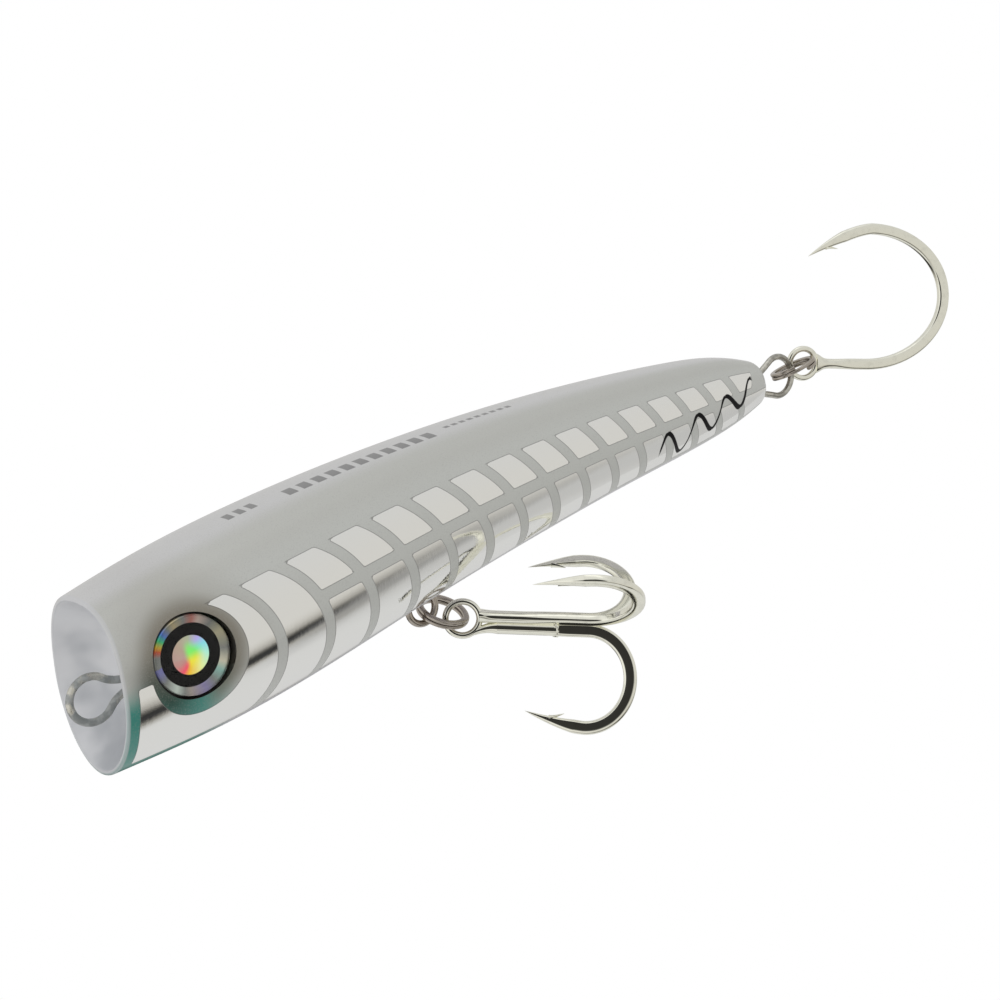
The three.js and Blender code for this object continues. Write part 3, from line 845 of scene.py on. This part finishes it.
def material(name, **inputs):
    """A new material with one Principled shader, and its Shader for building patterns."""
    made = bpy.data.materials.new(name)
    made.use_nodes = True
    shader = Shader(made.node_tree)
    fill(shader, **inputs)
    return made, shader


def fill(shader, **inputs):
    """Feeds the Principled shader's inputs, named with _ for a space."""
    principled = shader.tree.nodes["Principled BSDF"]
    for label, item in inputs.items():
        feed(shader.tree, principled.inputs[label.replace("_", " ")], item)


def base_coat_and_ridge_highlight(shader, on):
    """Silver paint with a cool belly, lighter along the back as a painted highlight."""
    colour = shader.mix(on["angle"].step(-0.95, -1.1), tone(208, 210, 206), tone(226, 225, 234))
    colour = shader.mix(on["angle"].step(0.55, 0.85), colour, tone(198, 199, 194))
    # Painted highlight: the top of the back is made lighter, as if lit along the ridge.
    return shader.mix(on["angle"].step(1.0, 1.3), colour, tone(213, 213, 213))


def airbrush_and_painted_shade(shader, on, colour):
    """Airbrush on the brow and jaw; airbrush and painted shade round and ahead of the eye's socket."""
    aft, height, eye = on["aft"], on["height"], on["eye_distance"]
    brow = eye.step(19, 7) * height.step(-9, 4)
    colour = shader.mix(brow * 0.45, colour, tone(140, 133, 118))
    jaw = height.step(3, -3) * aft.step(25, 15)
    colour = shader.mix(jaw, colour, tone(62, 146, 134))
    behind_or_above = (aft.step(15, 20) + height.step(-6, 0)).math("MINIMUM", 1.0)
    # Partly airbrush, partly painted shade: brown darkening round the sunken socket.
    colour = shader.mix(eye.step(12.5, 8.3) * behind_or_above * 0.62, colour, tone(102, 90, 64))
    # Partly airbrush, partly painted shade: dark green ahead of the eye, where the socket's shadow falls.
    ahead = eye.step(15.5, 9) * aft.step(17, 8) * height.step(8, 0)
    return shader.mix(ahead * 0.82, colour, tone(44, 62, 52))


def cup_and_lip(shader, on, colour, skin):
    """The pale, faintly mottled cup and the brighter edge of the mouth."""
    mottle = shader.noise(60, 3.0).step(0.38, 0.66)
    inside = shader.mix(mottle, tone(226, 227, 230), tone(184, 187, 192))
    lip = on["share"].step(0.93, 0.95) * on["aft"].step(0.7, 0.3)
    return shader.mix(lip * 0.6, shader.mix(skin, inside, colour), tone(208, 209, 213))


def body_paint():
    """Silver paint: foil panels, grey bands, airbrushing, generic marks, painted highlight and shade."""
    made, shader = material("body_paint")
    names = ("aft", "height", "angle", "from_ridge", "share", "eye_distance", "foil", "socket")
    on = {name: shader.attribute(name) for name in names}
    pit = on["socket"].step(-0.03, 0.03)
    skin = on["share"].step(0.955, 0.985)
    left_side = shader.parts(shader.position())[1].step(0.0, 0.0001)
    grain = shader.noise(3800)

    colour = airbrush_and_painted_shade(shader, on, base_coat_and_ridge_highlight(shader, on))
    colour = shader.mix(marks(on["aft"], on["from_ridge"]) * left_side * 0.8, colour, tone(98, 98, 98))
    colour = shader.mix(grain.step(0.45, 0.8) * 0.3, colour, tone(168, 168, 165))
    outline = on["foil"].math("ABSOLUTE").step(0.24, 0.06)
    colour = shader.mix(outline * 0.55, colour, tone(90, 90, 88))
    colour = cup_and_lip(shader, on, colour, skin)
    # Painted shade: the socket's sunken wall is coloured dark, as if in its own shadow.
    colour = shader.mix(pit, colour, tone(40, 37, 33))
    panel = on["foil"].step(-0.03, 0.03) * skin * pit.flipped()
    colour = shader.mix(panel, colour, (0.93, 0.93, 0.90, 1))
    ink = brush_wave(on["aft"], on["height"]) * skin
    colour = shader.mix(ink, colour, tone(12, 12, 14))

    foil = panel * ink.flipped()
    wave = shader.noise(260, 2.0, stretch=(1.0, 0.5, 0.35)) * foil
    crumple = shader.noise(1800, 1.0, stretch=(1.0, 0.3, 0.25)) * foil
    relief = wave * 0.07 + crumple * 0.02 + grain * 0.02
    fill(
        shader,
        Base_Color=colour,
        Metallic=foil * 0.97 + (foil.flipped() * 0.14),
        Roughness=foil.flipped() * 0.38 + 0.035,
        Specular_IOR_Level=ink.flipped() * 0.4 + 0.1,
        Coat_Weight=skin * ink.flipped() * 0.35,
        Coat_Roughness=0.06,
        Normal=shader.bump(relief, 0.00025),
    )
    return made


def bars(aft, from_ridge, start, end, pitch, long, across, tall):
    """A row of soft-edged short bars along the back."""
    cell = ((aft - start) * (1 / pitch)).math("FRACT")
    along = (cell - 0.5).math("ABSOLUTE") * pitch
    beside = (from_ridge - across).math("ABSOLUTE")
    inside = along.step(long / 2 + 0.2, long / 2) * beside.step(tall / 2 + 0.2, tall / 2)
    return inside * aft.step(start, start + 0.1) * aft.step(end, end - 0.1)


def marks(aft, from_ridge):
    """Generic printed marks: rows of short bars."""
    first, *others = (bars(aft, from_ridge, *row) for row in MARKS)
    return sum(others, first)


def brush_wave(aft, height):
    """A tapering brush wave near the tail, in place of writing."""
    run = (aft - 142) * (1 / 36)
    turns = run * 21
    swing = turns.math("SINE") * (run * -1.6 + 3.6)
    centre = swing + (run * 4.6) - 2.2
    width = (run * 9.5 + 0.5).math("SINE").math("ABSOLUTE") * 0.28 + 0.2
    slope = turns.math("COSINE").math("ABSOLUTE") * 1.3 + 0.8
    gap = (height - centre).math("ABSOLUTE") - width * slope
    return gap.step(0.15, -0.05) * aft.step(141.7, 142.3) * aft.step(178.3, 177.7)


def eye_print():
    """A holographic pupil and rim with a black ring between; the pupil has a faint painted glow."""
    made, shader = material("eye_print", Specular_IOR_Level=0.05)
    across = shader.attribute("across")
    above = shader.attribute("above")
    radius = (across * across + above * above).math("SQRT")
    turn = above.math("ARCTAN2", across) * (0.5 / math.pi) + 0.5
    pupil = shader.ramp(turn + (radius * 0.012), [(place, tone(*colour)) for place, *colour in PUPIL])
    core = shader.mix(above.step(-1.4, 0.8), tone(255, 246, 70), tone(136, 255, 118))
    pupil = shader.mix(radius.step(3.2, 0.8) * across.step(-1.5, -0.1), pupil, core)
    stops = sorted(GLINTS + [(place, 158, 162, 158) for place in PLAIN])
    silver = shader.ramp(turn, [(place, tone(*colour)) for place, *colour in stops])
    in_pupil = radius.step(DISC["pupil"] + 0.05, DISC["pupil"] - 0.05)
    in_rim = radius.step(DISC["ring"] - 0.05, DISC["ring"] + 0.05)
    colour = shader.mix(in_rim, tone(6, 6, 7), silver)
    colour = shader.mix(in_pupil, colour, pupil)
    dark = in_pupil.flipped() * in_rim.flipped()
    fill(shader, Base_Color=colour, Roughness=dark * 0.1 + 0.22, Metallic=dark * -0.3 + 0.3)
    # Painted light: the pupil gives off faint light of its own, as if lit from within.
    fill(shader, Emission_Color=colour, Emission_Strength=in_pupil * 0.3)
    return made


def clear_lens():
    clear = {"Base_Color": (1, 1, 1, 1), "Roughness": 0.015, "IOR": 1.22, "Transmission_Weight": 1.0}
    return material("clear_lens", **clear)[0]


def metal(name, colour, roughness, relief=0.0, scale=900, camera_reflection=0.0):
    """A bare metal, faintly cloudy; its last argument sets how dark a painted reflection of the camera makes
    it where it faces the camera.
    """
    made, shader = material(name, Metallic=1.0)
    cloud = shader.noise(scale, 3.0)
    dull = tuple(0.8 * c for c in colour[:3]) + (1.0,)
    colour = shader.mix(cloud.step(0.45, 0.75) * 0.5, colour, dull)
    if camera_reflection:
        # Painted reflection: metal facing the camera is darkened, as if mirroring the dark camera.
        colour = shader.mix(shader.facing().step(0.955, 0.975) * camera_reflection, colour, tone(30, 29, 26))
    fill(shader, Base_Color=colour, Roughness=cloud * 0.12 + roughness)
    if relief:
        fill(shader, Normal=shader.bump(cloud, relief))
    return made


def worn_wire():
    """Stainless wire; grey paint still clings to the loop in the mouth."""
    made, shader = material("worn_wire")
    in_mouth = shader.parts(shader.position())[0].step(-0.016, -0.012)
    residue = in_mouth * shader.noise(420, 4.0).step(0.4, 0.54)
    bare = shader.mix(shader.noise(500, 3.0).step(0.42, 0.62), tone(206, 204, 194), tone(164, 162, 154))
    paint = shader.mix(shader.noise(700, 3.0).step(0.4, 0.6), tone(172, 175, 174), tone(146, 150, 149))
    fill(
        shader,
        Base_Color=shader.mix(residue, bare, paint),
        Metallic=residue * -0.85 + 1.0,
        Roughness=residue * 0.3 + 0.22,
        Normal=shader.bump(residue + shader.noise(2400, 2.0) * 0.3, 0.00006),
    )
    return made


# ---- pieces


def add(node, mesh, body, look, name=""):
    """Makes a mesh in millimetres the piece for a CAD node, called after it or by a shorter name."""
    name = (name or node) + "_look"
    mesh.transform(Matrix.Translation(Vector(SHIFT) / 1000) @ Matrix.Scale(0.001, 4))
    mesh.shade_smooth()
    mesh.set_sharp_from_angle(angle=SHARP)
    mesh.materials.clear()
    mesh.materials.append(look)
    mesh.name = name
    piece = placed(name, mesh)
    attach(piece, body)
    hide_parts(node)


def mirrored(mesh):
    """A copy of a mesh on the other side of the seam."""
    copy = mesh.copy()
    copy.transform(Matrix.Scale(-1, 4, (0, 1, 0)))
    copy.flip_normals()
    return copy


def shells(look):
    """Both shells, with a socket for each eye."""
    outline = [(0, SOCKET_FLOOR), (SOCKET, SOCKET_FLOOR), (SOCKET, 30), (0, 30)]
    socket = lathe_y(outline, (-EYE_AFT, EYE_UP), ROUND_SIDES)
    left = combined(shell_mesh(), socket, "DIFFERENCE")
    paint_body(left)
    right = mirrored(left)
    add("left_shell", left, "lure", look)
    add("right_shell", right, "lure", look)


def disc_outline(low, high):
    """The eye's disc: its printed face lies half a millimetre below a raised edge."""
    radius = DISC["radius"]
    face = high - 0.5
    outline = [(0, low), (radius - 0.1, low), (radius, low + 0.1), (radius, high - 0.15)]
    outline += [(radius - 0.15, high), (6.9, high), (6.1, face)]
    return outline + [(r, face) for r in np.arange(6.0, 0, -0.4)] + [(0, face)]


def lens_outline(low, high):
    """The eye's lens: a flat back, a short edge and a dome."""
    outline = [(0, low), (LENS_RADIUS - 0.1, low), (LENS_RADIUS, low + 0.1), (LENS_RADIUS, low + 0.3)]
    dome = high - low - 0.5
    turn = np.linspace(0.12, math.pi / 2, 20)
    return outline + [(LENS_RADIUS * math.cos(a), low + 0.5 + dome * math.sin(a)) for a in turn]


def eyes(print_look, lens_look):
    """A disc and a lens on each side, as deep as their CAD nodes."""
    for kind, outline, look, slot in (
        ("disc", disc_outline, print_look, "eye_foil"),
        ("lens", lens_outline, lens_look, "eye_lens"),
    ):
        low, high = (corner.y * 1000 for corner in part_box(f"left_eye_{kind}"))
        mesh = lathe_y(outline(low, high), (-EYE_AFT, EYE_UP), ROUND_SIDES)
        points = vertex_points(mesh)
        write_values(mesh, across=-points[:, 0] - EYE_AFT, above=points[:, 2] - EYE_UP)
        for side, part in (("left", mesh), ("right", mirrored(mesh))):
            add(f"{side}_eye_{kind}", part, "lure", look)


def round_bar(node):
    """A cylinder with softened ends, as big as a CAD node."""
    low, high = (corner * 1000 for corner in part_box(node))
    centre = (low + high) / 2
    radius = (high.z - low.z) / 2
    length = high.x - low.x
    soft = radius * 0.15
    outline = [(0, 0), (radius - soft, 0), (radius - soft * 0.3, soft * 0.3), (radius, soft)]
    outline += [(r, length - y) for r, y in outline[::-1]]
    mesh = lathe_y(outline, (0, 0), 64)
    start = Vector((low.x, centre.y, centre.z)) - Vector(SHIFT)
    mesh.transform(Matrix.Translation(start) @ Matrix.Rotation(-math.pi / 2, 4, "Z"))
    return mesh


def ball(node):
    """A sphere as big as a CAD node."""
    low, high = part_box(node)
    centre = (low + high) / 2 * 1000
    radius = (high.x - low.x) * 500
    turn = np.linspace(-math.pi / 2, math.pi / 2, 33)
    outline = [(radius * math.cos(a), centre.y + radius * math.sin(a)) for a in turn]
    return lathe_y(outline, (centre.x - SHIFT[0], centre.z - SHIFT[2]), 64)


def build():
    """Every piece, on its body and with its material."""
    tinned = metal("tinned_steel", tone(247, 246, 232), 0.04, scale=700, camera_reflection=0.97)
    nickel = metal("dark_nickel", tone(178, 170, 160), 0.14, scale=1500, camera_reflection=0.6)
    lead = metal("ballast_lead", tone(130, 132, 138), 0.42, relief=0.0001)
    steel = metal("ball_steel", tone(200, 200, 200), 0.08)
    shells(body_paint())
    eyes(eye_print(), clear_lens())
    add("through_wire", through_wire(), "lure", worn_wire())
    add("belly_hanger", belly_hanger(), "lure", nickel)
    for end, ring in (("belly", BELLY_RING), ("tail", TAIL_RING)):
        body = f"{end}_ring"
        add(f"{end}_split_ring", split_ring(ring), body, nickel, name=body)
    add("treble_double_hook", treble_double(), "treble", tinned, name="treble_double")
    add("treble_third_hook", treble_third(), "treble", tinned, name="treble_third")
    add("single_hook", single_hook(), "tail_hook", tinned)
    for node in ("belly_weight", "tail_weight"):
        add(node, round_bar(node), "lure", lead)
    add("rattle_ball", ball("rattle_ball"), "rattle", steel)


# ---- studio


def grey(value, warmth=0.0):
    return (value * (1 + warmth), value, value * (1 - 2 * warmth), 1)


def studio_ramp(shader, level, below):
    """The studio's colour by level, from 0 straight down to 1 straight up."""
    stops = sorted(below + SKY)
    stops = [(0.5 + 0.5 * math.sin(math.radians(up)), grey(*light)) for up, *light in stops]
    return shader.ramp(level, stops)


def surroundings():
    """A pale studio: white to the camera, with a dark line below the horizon for metal to show."""
    world = bpy.data.worlds.new("studio")
    bpy.context.scene.world = world
    world.use_nodes = True
    shader = Shader(world.node_tree)
    x, y, z = shader.parts(shader.value(shader.node("TexCoord"), "Generated"))
    level = z * 0.5 + 0.5
    heading = y.math("ARCTAN2", x) * (180 / math.pi)
    # The dark line sinks away from the heading of 107 degrees, and fades out beyond the tail.
    tilt = ((heading - 107).math("ABSOLUTE") * 0.6 - 8.4).math("MINIMUM", 9.0) * -0.0065
    dark = studio_ramp(shader, level + tilt, DARK)
    faded = studio_ramp(shader, level, FADED)
    bright = studio_ramp(shader, level, BRIGHT)
    colour = shader.mix(heading.step(124, 138), dark, faded)
    colour = shader.mix(heading.step(-112, -135), colour, bright)
    colour = shader.mix(heading.step(137, 150) * 0.65, colour, bright)
    colour = shader.mix(x.step(0.2, 0.9) * 0.45, colour, grey(1.2))
    camera_ray = shader.value(shader.node("LightPath"), "Is Camera Ray")
    colour = shader.mix(camera_ray, colour, (1, 1, 1, 1))
    feed(world.node_tree, world.node_tree.nodes["Background"].inputs["Color"], colour)


def floor():
    """A plain white floor that meets the white surroundings unseen."""
    made = bpy.data.materials.new("floor")
    made.use_nodes = True
    made.node_tree.nodes.clear()
    shader = Shader(made.node_tree)
    below = shader.value(shader.node("NewGeometry"), "Backfacing")
    white, clear = (shader.value(shader.node(kind)) for kind in ("Emission", "BsdfTransparent"))
    shader.node("OutputMaterial", shader.value(shader.node("MixShader", below, white, clear)))
    depth = HANGER["up"] - FLOOR_DROP
    corners = [(-1, -1), (1, -1), (1, 1), (-1, 1)]
    corners = [to_row((x * FLOOR_REACH, y * FLOOR_REACH, depth)) for x, y in corners]
    mesh = bpy.data.meshes.new("floor")
    mesh.from_pydata(corners, [], [(0, 1, 2, 3)])
    mesh.materials.append(made)
    plane = placed("floor", mesh)
    for ray in ("diffuse", "glossy", "transmission", "shadow"):
        setattr(plane, "visible_" + ray, False)


def camera():
    data = bpy.data.cameras.new("camera")
    data.lens = CAMERA["lens"]
    data.sensor_width = 36
    data.clip_start = 0.005
    made = placed("camera", data)
    tilt = Matrix.Rotation(math.radians(90 - CAMERA["elevation"]), 4, "X")
    turn = Matrix.Rotation(math.radians(CAMERA["azimuth"]), 4, "Z")
    roll = Matrix.Rotation(math.radians(-CAMERA["roll"]), 4, "Z")
    made.matrix_world = Matrix.Translation(to_row(CAMERA["place"])) @ turn @ tilt @ roll
    bpy.context.scene.camera = made


build()
surroundings()
floor()
camera()
bpy.context.scene.view_settings.view_transform = "Standard"
